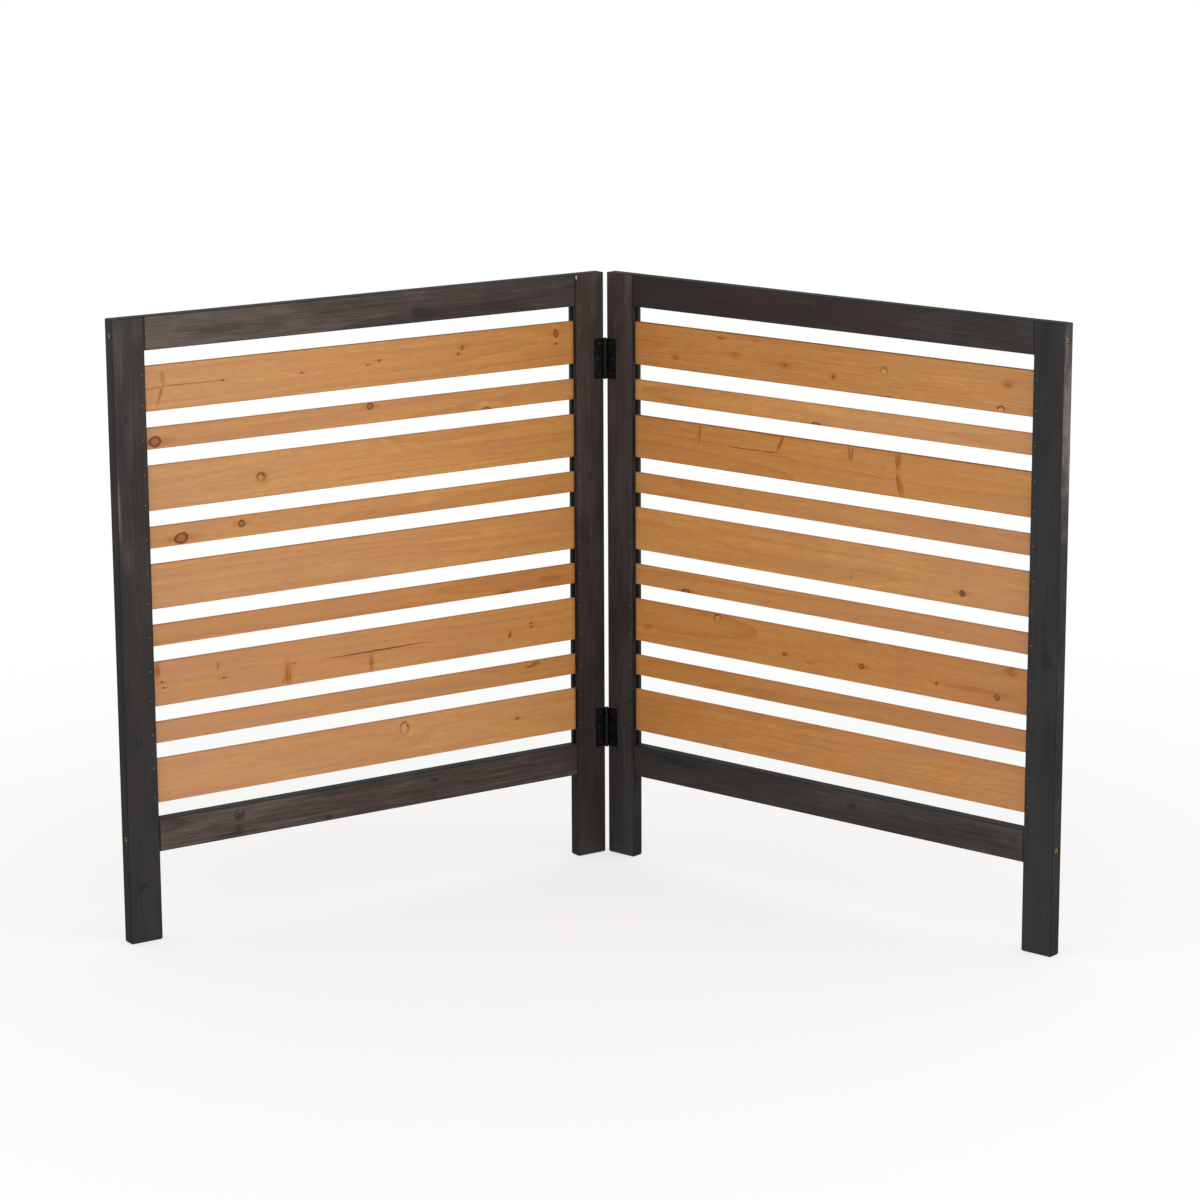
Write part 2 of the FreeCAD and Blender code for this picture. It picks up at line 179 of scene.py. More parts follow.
# Strokes are (along and across of one end, then of the other, width, strength). Cracks are dark, and spike
# knots are brown and soft.
CRACKS = {
    "left_slat_1": [(-359, 2, -293, 1.5, 2.3, 0.6), (-363, 2, -223, 1, 1.4, 0.35)],
    "left_slat_7": [(-105, -2, 133, 0.5, 2.8, 1.0), (-240, 4, -196, 6, 1.0, 0.7)],
    "right_slat_3": [(-208, 5, -88, 6, 1.7, 0.9), (-130, 5, -90, 7, 2.4, 0.9)],
}
SPIKES = {
    "left_slat_1": [
        (-347, 32, -346, -2, 12, 0.5), (-344, 10, -357, -28, 9, 0.8), (-352, -12, -358, -32, 8, 0.4),
        (-391, -1, -337, 1, 6, 0.6), (-353, 1, -226, 1, 3, 0.5),
    ],
    "left_slat_7": [
        (-267, 24, -268, 4, 6, 0.8), (-148, -2, -151, -34, 8, 0.9), (-144, -8, -145, -34, 4, 0.9),
        (-153, -18, -159, -34, 4, 0.9), (0, -4, -1, -34, 6, 0.9), (258, 0, 250, -18, 8, 1.0),
        (-370, 34, -368, 8, 8, 0.8),
    ],
    "left_slat_8": [(275, 7, 317, 11, 10, 1.0), (291, 12, 315, 14, 6, 1.0), (293, 9, 305, 9, 5, 1.0)],
    "right_slat_1": [(-218, 25, -191, 24, 8, 0.9), (320, 8, 338, 7, 7, 0.8), (-305, -16, -289, -14, 6, 0.6)],
    "right_slat_3": [
        (-246, 40, -249, 0, 8, 0.9), (-256, 3, -244, 4, 4, 0.7), (-78, 42, -98, 2, 11, 1.0),
        (-142, 34, -86, 30, 16, 0.3), (52, 42, 45, 2, 7, 1.0), (42, 42, 44, 5, 6, 1.0),
        (138, 42, 131, 3, 10, 0.9), (130, 40, 131, 6, 5, 0.9), (130, 8, 140, -36, 8, 1.0),
        (139, -4, 147, -36, 4, 0.8),
    ],
    "right_slat_7": [(332, 28, 354, 34, 7, 0.8), (336, 26, 356, 22, 7, 0.8)],
}

# Slats in (shade at the hinge end, shade at the outer end, redness): shade darkens, and redness turns the
# honey stain rosy. Each board's values are partly its own tone and partly painted light: painted shade at the
# hinge end, where the two panels shade each other, and painted light at the outer end.
SLAT_TONE_AND_PAINTED_LIGHT = {
    "left_slat_1": (0.19, -0.07, 0.12), "left_slat_2": (0.10, 0.07, 0.20),
    "left_slat_3": (0.11, -0.10, 0.17), "left_slat_4": (0.07, 0.04, 0.17),
    "left_slat_5": (0.07, -0.07, 0.25), "left_slat_6": (0.25, 0.10, 0.20),
    "left_slat_7": (0.09, 0.07, 0.25), "left_slat_8": (0.18, 0.03, 0.32),
    "left_slat_9": (0.01, -0.07, 0.33), "right_slat_1": (0.27, 0.07, -0.04),
    "right_slat_2": (0.01, -0.03, 0.17), "right_slat_3": (0.17, 0.10, -0.09),
    "right_slat_4": (0.11, 0.13, 0.17), "right_slat_5": (-0.02, 0.03, 0.13),
    "right_slat_6": (0.07, 0.17, 0.18), "right_slat_7": (0.14, 0.27, -0.02),
    "right_slat_8": (0.22, 0.26, 0.11), "right_slat_9": (0.21, 0.15, 0.07),
}

# How much of the soaked colour shows on a slat's narrow edges, where it isn't the usual share.
USUAL_SOAKED_EDGE = 0.25
SOAKED_EDGES = {"left_slat_1": 0.45, "left_slat_5": 0.45, "right_slat_1": 0.9, "right_slat_3": 1.0}

# How thin the dark stain lies at a frame board's left or lower end and at its other end: 0 is black, and thin
# stain lets the brown timber through. The values are partly the stain's own thickness and partly painted
# light:
# darker at the hinge ends and the feet, which get less light, and lighter at the outer ends and the tops.
STAIN_THINNESS_AND_LIGHT = {
    "left_top_rail": (0.95, 0.60), "left_bottom_rail": (0.83, 0.69), "right_top_rail": (0.42, 0.60),
    "right_bottom_rail": (0.49, 0.68), "left_outer_post": (0.33, 0.64), "left_hinge_post": (0.46, 0.74),
    "right_outer_post": (0.33, 0.33), "right_hinge_post": (0.51, 0.75),
}

# How warm the dark stain is at the same two ends, where it isn't 1 all along: 0 is grey.
STAIN_WARMTH = {
    "left_outer_post": (1.0, 0.6), "right_top_rail": (2.4, 0.36), "right_bottom_rail": (1.0, 0.65),
    "right_hinge_post": (0.3, 0.9), "right_outer_post": (0.6, 0.45),
}

# Places where the dark stain is lighter: oval marks and how much thinner the stain is there. On the left
# outer post they are rubbed scuffs; on the right outer post the strip along the whole outer side, which faces
# the key lamp, is painted light.
RUBBED_AND_LIT = {
    "left_outer_post": [
        ((190, 23, 110, 5, 0), 0.45), ((425, 15, 110, 18, 0), 0.12), ((300, 2, 90, 16, 0), 0.12),
        ((120, 12, 60, 20, 0), 0.15), ((455, -14, 50, 16, 0), 0.12),
    ],
    "right_outer_post": [((320, -27.6, 640, 4, 0), 1.6), ((-200, -27.6, 640, 4, 0), 0.6)],
}

# Bare timber where the stain has chipped, as oval marks.
CHIPS = {"left_hinge_post": [(470.5, 24.8, 8, 2.4, 0)]}


def colour(hex_value):
    """A linear colour with full alpha from an sRGB hex value such as 8c5a30."""
    channels = []
    for start in (0, 2, 4):
        share = int(hex_value[start:start + 2], 16) / 255
        channels.append(share / 12.92 if share <= 0.04045 else ((share + 0.055) / 1.055) ** 2.4)
    return (*channels, 1.0)


def colour_property(name, hex_value, description):
    """A colour swatch for the panel."""
    return FloatVectorProperty(
        name=name, description=description, subtype="COLOR", size=4, min=0, max=1, default=colour(hex_value))


class SlatStain(bpy.types.PropertyGroup):
    """The honey stain on the slats."""

    pale: colour_property("Pale grain", "dba563", "Soft early wood under the honey stain")
    honey: colour_property("Honey", "c68b4b", "The stain's middle tone")
    deep: colour_property("Deep grain", "a5642e", "Hard late wood and soaked patches")
    rosy: colour_property("Rosy", "be8c70", "The pinker cast of some boards")
    bare: colour_property("Bare", "dcb273", "The pale wood inside a loose knot")
    knot: colour_property("Knot", "97583a", "The heart of a knot")
    knot_rim: colour_property("Knot rim", "653115", "The dark bark line round a knot")
    spike: colour_property("Spike", "9c580f", "A knot cut lengthwise")
    edge: colour_property("Soaked edge", "8a5318", "Stain drawn into the narrow edges")
    crack: colour_property("Crack", "70390c", "The shadow in a drying crack")
    ring_width: FloatProperty(
        name="Ring width", description="Mean width of a year's growth", default=0.0034, min=0.001,
        unit="LENGTH")


class FrameStain(bpy.types.PropertyGroup):
    """The dark stain on the posts and rails."""

    soaked: colour_property("Soaked edge", "0b0a0a", "The black of edges and end grain")
    thick: colour_property("Thick stain", "232323", "The grey-black of thick stain on the feet")
    charcoal: colour_property("Charcoal", "291e1b", "The stain's middle tone")
    brown: colour_property("Brown", "3d312c", "Where the timber begins to show")
    thin: colour_property("Thin stain", "64574e", "Where the stain is rubbed thin")
    bare: colour_property("Bare timber", "dcc7a2", "Chipped spots")
    ring_width: FloatProperty(
        name="Ring width", description="Mean width of a year's growth", default=0.0042, min=0.001,
        unit="LENGTH")


class Ironwork(bpy.types.PropertyGroup):
    """The coatings on the hinges, screws and brads."""

    black: colour_property("Black coat", "060707", "Baked black on the hinges")
    screw_black: colour_property("Black screws", "2a2a2a", "Blackened heads of the hinge screws")
    yellow_zinc: colour_property("Yellow zinc", "8f6d3a", "Passivated zinc on the long screws")
    brad_steel: colour_property("Brad steel", "6e665e", "Steel dulled by stain")
    coat_grain: FloatProperty(
        name="Coat grain", description="Size of the ripple in the baked coat", default=0.0008, min=0.0001,
        unit="LENGTH")


class Studio(bpy.types.PropertyGroup):
    """The white studio round the screen."""

    floor_pale: colour_property("Floor", "f4f3f1", "The pale floor")
    ambient: FloatProperty(
        name="Ambient", description="Light from the white surroundings", default=0.8, min=0)
    key_power: FloatProperty(
        name="Key", description="Power of the soft light on the right", default=30, min=0, unit="POWER")
    fill_power: FloatProperty(
        name="Fill", description="Power of the soft light on the left", default=14, min=0, unit="POWER")
    focal_length: FloatProperty(
        name="Focal length", description="Lens on a 36 mm wide sensor", default=113.4, min=1, unit="CAMERA")


def add(tree, kind, links=(), out=0, stops=(), **settings):
    """Adds a node, sets it up, links or sets its inputs and returns one of its outputs."""
    node = tree.nodes.new(kind)
    for name, value in settings.items():
        setattr(node, name, value)
    for socket, value in dict(links).items():
        if isinstance(value, bpy.types.NodeSocket):
            tree.links.new(value, node.inputs[socket])
        else:
            node.inputs[socket].default_value = value
    for index, (place, tint) in enumerate(stops):
        elements = node.color_ramp.elements
        stop = elements[index] if index < 2 else elements.new(place)
        stop.position = place
        stop.color = tint
    return node.outputs[out]


def new_material(name):
    """An empty node material."""
    material = bpy.data.materials.new(name)
    material.use_nodes = True
    material.node_tree.nodes.clear()
    return material


def finish_surface(tree, links):
    """Ends a material in one principled surface."""
    surface = add(tree, "ShaderNodeBsdfPrincipled", links)
    output = tree.nodes.new("ShaderNodeOutputMaterial")
    tree.links.new(surface, output.inputs["Surface"])


def dress(node, material):
    """Gives a node of the frame one material over its whole surface."""
    obj = frame["nodes"][node]
    obj.data.materials.clear()
    obj.data.materials.append(material)


class Board:
    """Where a board lies: its own directions and its size in mm, measured on the frame's node."""

    def __init__(self, node):
        side = node.split("_")[0]
        swing = PANEL_SWING if side == "left" else -PANEL_SWING
        level = Vector((math.cos(swing), math.sin(swing), 0))
        upward = Vector((0, 0, 1))
        forward = Vector((math.sin(swing), -math.cos(swing), 0))
        upright = node.endswith("post")
        along, across = (upward, -level) if upright else (level, upward)
        self.turn = Matrix((along, across, forward))
        places = [self.turn @ vertex.co for vertex in frame["nodes"][node].data.vertices]
        lows = [min(place[axis] for place in places) for axis in range(3)]
        highs = [max(place[axis] for place in places) for axis in range(3)]
        self.middle = Vector([(low + high) / 2 for low, high in zip(lows, highs)]) * MM_PER_M
        self.half = Vector([(high - low) / 2 for low, high in zip(lows, highs)]) * MM_PER_M


def board_place(tree, board):
    """The board's own coordinates in mm: along, across and through."""
    return add(tree, "ShaderNodeMapping", {
        "Vector": add(tree, "ShaderNodeTexCoord", out="Object"),
        "Location": -board.middle,
        "Rotation": board.turn.to_euler(),
        "Scale": (MM_PER_M, MM_PER_M, MM_PER_M),
    })


def streaks(tree, place, seed, length, width, detail):
    """Noise drawn out along the grain, about 0.5 in the mean, from a length and a width in mm.

    Each seed takes it from another part of the noise.
    """
    stretched = add(tree, "ShaderNodeMapping", {
        "Vector": place,
        "Location": (seed * 7.31, seed * 3.17, seed * 5.73),
        "Scale": (1 / length, 1 / width, 1 / width),
    })
    return add(tree, "ShaderNodeTexNoise", {"Vector": stretched, "Scale": 1.0, "Detail": detail})


def ragged_rim(tree, place, seed, size, depth):
    """Noise about 0 that wears the rims of marks, from its size in mm and its depth."""
    wear = streaks(tree, place, seed, length=1.6 * size, width=size, detail=2)
    return add(tree, "ShaderNodeMath", {0: wear, 1: depth, 2: -0.5 * depth}, operation="MULTIPLY_ADD")


def spot_distance(tree, place, mark):
    """Distance from an oval mark's middle, 1 at its rim."""
    along, across, width, height, tilt = mark
    oval = add(tree, "ShaderNodeMapping", {
        "Vector": place,
        "Location": (along, across, 0),
        "Rotation": (0, 0, math.radians(tilt)),
        "Scale": (width / 2, height / 2, MARK_DEPTH),
    }, vector_type="TEXTURE")
    return add(tree, "ShaderNodeVectorMath", {0: oval}, out="Value", operation="LENGTH")


def nearest_spot(tree, place, marks, ragged):
    """Distance to the nearest of several marks, with a ragged rim."""
    nearest = FAR_FROM_MARKS
    for mark in marks:
        distance = spot_distance(tree, place, mark)
        nearest = add(tree, "ShaderNodeMath", {0: distance, 1: nearest}, operation="MINIMUM")
    return add(tree, "ShaderNodeMath", {0: nearest, 1: ragged}, operation="ADD")


def spot_tails(tree, place, marks, ragged, reach):
    """0 to 1 in the stained grain round each knot, which reaches some widths along the board."""
    drawn_out = [(along, across, reach * width, 1.1 * height, 0) for along, across, width, height, _ in marks]
    distance = nearest_spot(tree, place, drawn_out, ragged)
    return add(tree, "ShaderNodeMapRange", {
        "Value": distance, "From Min": 1.1, "From Max": 0.2, "To Min": 0.0, "To Max": 1.0,
    }, interpolation_type="SMOOTHSTEP")


def grain_round_knots(tree, place, knots):
    """The across coordinate, eased so that the growth lines part round each knot."""
    across = add(tree, "ShaderNodeSeparateXYZ", {0: place}, out="Y")
    eased = across
    for knot in knots:
        distance = spot_distance(tree, place, knot)
        pull = add(tree, "ShaderNodeMapRange", {
            "Value": distance, "From Min": 4.0, "From Max": 0.8, "To Min": 0.0, "To Max": 0.75,
        }, interpolation_type="SMOOTHSTEP")
        offset = add(tree, "ShaderNodeMath", {0: knot[1], 1: across}, operation="SUBTRACT")
        eased = add(tree, "ShaderNodeMath", {0: pull, 1: offset, 2: eased}, operation="MULTIPLY_ADD")
    return eased


def growth_rings(tree, place, eased, board, seed, ring_width):
    """Late wood, 0 to 1, of the year rings that a saw cut through: each darkens slowly and ends sharply.

    The tree's heart lies behind the board and leans a little, so the lines run nearly level and slowly part.
    """
    wander = streaks(tree, place, seed, length=260, width=70, detail=1)
    ripple = streaks(tree, place, seed + 13, length=40, width=12, detail=2)
    sway = streaks(tree, place, seed + 11, length=420, width=120, detail=1)
    split = add(tree, "ShaderNodeSeparateXYZ", {0: place}).node.outputs
    # Steps of the golden section give each board another place under the heart.
    heart_across = board.half.y * HEART_ASIDE * (2 * ((seed * 0.618) % 1) - 1)
    heart_through = HEART_NEAREST + HEART_SPREAD * ((seed * 0.382) % 1)
    lean = HEART_LEAN if seed % 2 else -HEART_LEAN
    beside = add(tree, "ShaderNodeMath", {0: wander, 1: WANDER_DEPTH, 2: eased}, operation="MULTIPLY_ADD")
    beside = add(tree, "ShaderNodeMath", {0: ripple, 1: RIPPLE_DEPTH, 2: beside}, operation="MULTIPLY_ADD")
    beside = add(tree, "ShaderNodeMath", {0: beside, 1: heart_across}, operation="SUBTRACT")
    leaning = add(tree, "ShaderNodeMath", {0: split["X"], 1: lean, 2: split["Z"]}, operation="MULTIPLY_ADD")
    behind = add(tree, "ShaderNodeMath", {0: sway, 1: SWAY_DEPTH, 2: leaning}, operation="MULTIPLY_ADD")
    behind = add(tree, "ShaderNodeMath", {0: behind, 1: heart_through}, operation="ADD")
    spoke = add(tree, "ShaderNodeCombineXYZ", {"X": beside, "Y": behind})
    radius = add(tree, "ShaderNodeVectorMath", {0: spoke}, out="Value", operation="LENGTH")
    years = add(tree, "ShaderNodeMath", {0: radius, 1: ring_width}, operation="DIVIDE")
    season = add(tree, "ShaderNodeMath", {0: years}, operation="FRACT")
    late = add(tree, "ShaderNodeMath", {0: season, 1: LATE_SHARPNESS}, operation="POWER")
    vigour = add(tree, "ShaderNodeTexNoise", {
        "W": years, "Scale": VIGOUR_SCALE, "Detail": 1.0}, noise_dimensions="1D")
    return add(tree, "ShaderNodeMath", {0: late, 1: vigour}, operation="MULTIPLY")


def stroke_depth(tree, place, strokes, ragged, waver, core):
    """0 on sound wood and up to 1 in a stroke, which wavers by some mm and tapers to both ends.

    The core is the share of the stroke's width that has its full strength.
    """
    depth = 0.0
    for from_along, from_across, to_along, to_across, width, strength in strokes:
        run_along = to_along - from_along
        run_across = to_across - from_across
        lens = add(tree, "ShaderNodeMapping", {
            "Vector": place,
            "Location": ((from_along + to_along) / 2, (from_across + to_across) / 2, 0),
            "Rotation": (0, 0, math.atan2(run_across, run_along)),
            "Scale": (math.hypot(run_along, run_across) / 2, width / 2, MARK_DEPTH),
        }, vector_type="TEXTURE")
        split = add(tree, "ShaderNodeSeparateXYZ", {0: lens}).node.outputs
        run = add(tree, "ShaderNodeMath", {0: split["X"], 1: split["X"]}, operation="MULTIPLY")
        aside = add(tree, "ShaderNodeMath", {
            0: ragged, 1: 2 * waver / width, 2: split["Y"]}, operation="MULTIPLY_ADD")
        aside = add(tree, "ShaderNodeMath", {0: aside}, operation="ABSOLUTE")
        reach = add(tree, "ShaderNodeMath", {0: run, 1: aside}, operation="ADD")
        inside = add(tree, "ShaderNodeMapRange", {
            "Value": reach, "From Min": 1.0, "From Max": core, "To Min": 0.0, "To Max": strength,
        }, interpolation_type="SMOOTHSTEP")
        depth = add(tree, "ShaderNodeMath", {0: inside, 1: depth}, operation="MAXIMUM")
    return depth


def edge_share(tree, place, board):
    """0 on a board's faces, rising to 1 over the soaked band at its narrow edges and its ends."""
    split = add(tree, "ShaderNodeSeparateXYZ", {0: place}).node.outputs
    shares = []
    for axis, half in (("X", board.half.x), ("Y", board.half.y)):
        reach = add(tree, "ShaderNodeMath", {0: split[axis]}, operation="ABSOLUTE")
        shares.append(add(tree, "ShaderNodeMapRange", {
            "Value": reach, "From Min": half - SOAKED_BAND, "From Max": half - 0.2 * SOAKED_BAND,
            "To Min": 0.0, "To Max": 1.0,
        }, interpolation_type="SMOOTHSTEP"))
    return add(tree, "ShaderNodeMath", {0: shares[0], 1: shares[1]}, operation="MAXIMUM")


def slat_knots(tree, place, node, timber, mottle, ragged, stain):
    """A slat's colour with its knots drawn in: veils and eyes first, then solid knots, rings and pins."""
    solid = SOLID_KNOTS.get(node, [])
    tails = spot_tails(tree, place, solid, ragged, reach=4.5)
    tails = add(tree, "ShaderNodeMath", {0: tails, 1: 0.45}, operation="MULTIPLY")
    sunken = nearest_spot(tree, place, SUNKEN_KNOTS.get(node, []), ragged)
    tint = add(tree, "ShaderNodeMapRange", {
        "Value": sunken, "From Min": 1.5, "From Max": 0.4, "To Min": 0.0, "To Max": 0.5,
    }, interpolation_type="SMOOTHSTEP")
    veil = add(tree, "ShaderNodeMath", {0: tails, 1: tint}, operation="MAXIMUM")
    timber = add(tree, "ShaderNodeMix", {SHARE: veil, UNDER: timber, OVER: stain.spike}, **COLOUR_MIX)

    eye = nearest_spot(tree, place, PALE_EYES.get(node, []), ragged)
    clear = add(tree, "ShaderNodeMapRange", {
        "Value": eye, "From Min": 1.3, "From Max": 0.3, "To Min": 0.0, "To Max": 0.4,
    }, interpolation_type="SMOOTHSTEP")
    timber = add(tree, "ShaderNodeMix", {SHARE: clear, UNDER: timber, OVER: stain.pale}, **COLOUR_MIX)

    pins = [knot for knot in solid if max(knot[2:4]) <= PIN_KNOT_SIZE]
    rim = nearest_spot(tree, place, [knot for knot in solid if knot not in pins], ragged)
    heart = add(tree, "ShaderNodeValToRGB", {0: rim}, stops=(
        (0.0, stain.knot), (1.0, stain.knot_rim), (0.4, stain.deep), (0.55, stain.knot),
        (0.85, stain.knot_rim)))
    cover = add(tree, "ShaderNodeMapRange", {
        "Value": rim, "From Min": 1.2, "From Max": 1.0, "To Min": 0.0, "To Max": 0.9,
    }, interpolation_type="SMOOTHSTEP")
    timber = add(tree, "ShaderNodeMix", {SHARE: cover, UNDER: timber, OVER: heart}, **COLOUR_MIX)
    broken = add(tree, "ShaderNodeMapRange", {
        "Value": mottle, "From Min": 0.4, "From Max": 0.6, "To Min": 0.35, "To Max": 0.95})
    across = add(tree, "ShaderNodeSeparateXYZ", {0: place}, out="Y")
    for ring in RING_KNOTS.get(node, []):
        hoop = nearest_spot(tree, place, [ring], ragged)
        open_wood = add(tree, "ShaderNodeMapRange", {
            "Value": hoop, "From Min": 1.0, "From Max": 0.5, "To Min": 0.0, "To Max": 0.2,
        }, interpolation_type="SMOOTHSTEP")
        timber = add(tree, "ShaderNodeMix", {SHARE: open_wood, UNDER: timber, OVER: stain.bare}, **COLOUR_MIX)
        from_line = add(tree, "ShaderNodeMath", {0: hoop, 1: 1.0}, operation="SUBTRACT")
        from_line = add(tree, "ShaderNodeMath", {0: from_line}, operation="ABSOLUTE")
        line = add(tree, "ShaderNodeMapRange", {
            "Value": from_line, "From Min": 0.4, "From Max": 0.08, "To Min": 0.0, "To Max": 1.0,
        }, interpolation_type="SMOOTHSTEP")
        # The bark line is strong at the crown of the knot and fades towards its foot.
        crown = add(tree, "ShaderNodeMapRange", {
            "Value": across, "From Min": ring[1] - ring[3] / 2, "From Max": ring[1] + ring[3] / 4,
            "To Min": 0.25, "To Max": 1.0})
        bark = add(tree, "ShaderNodeMath", {0: line, 1: broken}, operation="MULTIPLY")
        bark = add(tree, "ShaderNodeMath", {0: bark, 1: crown}, operation="MULTIPLY")
        timber = add(tree, "ShaderNodeMix", {SHARE: bark, UNDER: timber, OVER: stain.knot_rim}, **COLOUR_MIX)

    pin = nearest_spot(tree, place, pins, ragged)
    pin_cover = add(tree, "ShaderNodeMapRange", {
        "Value": pin, "From Min": 1.2, "From Max": 0.5, "To Min": 0.0, "To Max": 0.8,
    }, interpolation_type="SMOOTHSTEP")
    timber = add(tree, "ShaderNodeMix", {SHARE: pin_cover, UNDER: timber, OVER: stain.knot_rim}, **COLOUR_MIX)
    return timber


def slat_material(node, seed, stain):
    """Planed fir under a honey wiping stain, which late wood and knots show darker than early wood.

    The eye sees fine level streaks, faint growth lines, russet knots with dark rims and a low satin sheen.
    """
    material = new_material(f"honey_stained_fir_{node}")
    tree = material.node_tree
    board = Board(node)
    place = board_place(tree, board)
    eased = grain_round_knots(tree, place, SOLID_KNOTS.get(node, []) + RING_KNOTS.get(node, []))
    late = growth_rings(tree, place, eased, board, seed, stain.ring_width * MM_PER_M)
    fibre = streaks(tree, place, seed + 3, length=24, width=1.7, detail=4)
    mottle = streaks(tree, place, seed + 17, length=13, width=5, detail=3)
    bands = streaks(tree, place, seed + 5, length=200, width=6, detail=3)
    soak = streaks(tree, place, seed + 7, length=110, width=26, detail=3)
    ragged = ragged_rim(tree, place, seed + 9, size=5, depth=0.4)

    # From the hinge end to the outer end the slat turns lighter and a little rosier: painted shade at the
    # hinge end and painted light, a pale rosy sheen, at the outer end.
    hinge_tone_and_painted_shade, outer_tone_and_painted_light, redness = SLAT_TONE_AND_PAINTED_LIGHT[node]
    along = add(tree, "ShaderNodeSeparateXYZ", {0: place}, out="X")
    outer = -board.half.x if node.startswith("left") else board.half.x
    tone = add(tree, "ShaderNodeMapRange", {
        "Value": along, "From Min": -outer, "From Max": outer,
        "To Min": hinge_tone_and_painted_shade + SLAT_TONE_BASE, "To Max": outer_tone_and_painted_light + SLAT_TONE_BASE})
    for part, weight in ((late, 0.34), (fibre, 0.62), (mottle, 0.32), (bands, 0.42), (soak, 0.36)):
        tone = add(tree, "ShaderNodeMath", {0: part, 1: weight, 2: tone}, operation="MULTIPLY_ADD")
    timber = add(tree, "ShaderNodeValToRGB", {0: tone}, stops=(
        (0.0, stain.pale), (1.0, stain.deep), (0.38, stain.honey)))
    # The rosy share grows towards the outer end as a painted sheen.
    cast = add(tree, "ShaderNodeMapRange", {
        "Value": along, "From Min": -outer, "From Max": outer,
        "To Min": redness - 0.2, "To Max": redness + 0.2})
    reddening = add(tree, "ShaderNodeMath", {0: soak, 1: 0.6, 2: -0.3}, operation="MULTIPLY_ADD")
    reddening = add(tree, "ShaderNodeMath", {0: reddening, 1: cast}, operation="ADD")
    timber = add(tree, "ShaderNodeMix", {SHARE: reddening, UNDER: timber, OVER: stain.rosy}, **COLOUR_MIX)

    timber = slat_knots(tree, place, node, timber, mottle, ragged, stain)
    spike = stroke_depth(tree, place, SPIKES.get(node, []), ragged, SPIKE_WAVER, SPIKE_CORE)
    timber = add(tree, "ShaderNodeMix", {SHARE: spike, UNDER: timber, OVER: stain.spike}, **COLOUR_MIX)
    edge = edge_share(tree, place, board)
    soaked = add(tree, "ShaderNodeMath", {
        0: edge, 1: SOAKED_EDGES.get(node, USUAL_SOAKED_EDGE)}, operation="MULTIPLY")
    timber = add(tree, "ShaderNodeMix", {SHARE: soaked, UNDER: timber, OVER: stain.edge}, **COLOUR_MIX)
    crack = stroke_depth(tree, place, CRACKS.get(node, []), ragged, CRACK_WAVER, CRACK_CORE)
    timber = add(tree, "ShaderNodeMix", {SHARE: crack, UNDER: timber, OVER: stain.crack}, **COLOUR_MIX)

    sheen = add(tree, "ShaderNodeMapRange", {
        "Value": fibre, "From Min": 0.3, "From Max": 0.7, "To Min": 0.24, "To Max": 0.34})
    sheen = add(tree, "ShaderNodeMath", {0: edge, 1: 0.6, 2: sheen}, operation="MULTIPLY_ADD")
    relief = add(tree, "ShaderNodeMath", {0: fibre, 1: 0.6, 2: late}, operation="MULTIPLY_ADD")
    relief = add(tree, "ShaderNodeMath", {0: crack, 1: -6.0, 2: relief}, operation="MULTIPLY_ADD")
    bump = add(tree, "ShaderNodeBump", {"Strength": 0.35, "Distance": GRAIN_RELIEF, "Height": relief})
    finish_surface(tree, {
        "Base Color": timber, "Roughness": sheen, "IOR": 1.5, "Specular IOR Level": 0.2, "Normal": bump})
    return material


def rail_marks(tree, board, along, soak, thinness):
    """The thinness of a rail's stain with the planer's ripples and painted shade in the seam beside each
    post.
    """
    # The ripples run across the grain, faint and clear only in places.
    turn = add(tree, "ShaderNodeMath", {0: along, 1: math.tau / PLANER_PITCH}, operation="MULTIPLY")
    chatter = add(tree, "ShaderNodeMath", {0: turn}, operation="SINE")
    depth = add(tree, "ShaderNodeMapRange", {
        "Value": soak, "From Min": 0.45, "From Max": 0.7, "To Min": 0.0, "To Max": 0.04})
    thinness = add(tree, "ShaderNodeMath", {0: chatter, 1: depth, 2: thinness}, operation="MULTIPLY_ADD")

    # The seam at the tongue's shoulder is darkened as painted shade in the joint.
    from_middle = add(tree, "ShaderNodeMath", {0: along}, operation="ABSOLUTE")
    seam_start = board.half.x - TONGUE_LENGTH - SEAM_WIDTH
    seam = add(tree, "ShaderNodeMapRange", {
        "Value": from_middle, "From Min": seam_start, "From Max": seam_start + SEAM_FADE,
        "To Min": 0.0, "To Max": -1.4,
    }, interpolation_type="SMOOTHSTEP")
    return add(tree, "ShaderNodeMath", {0: thinness, 1: seam}, operation="ADD")


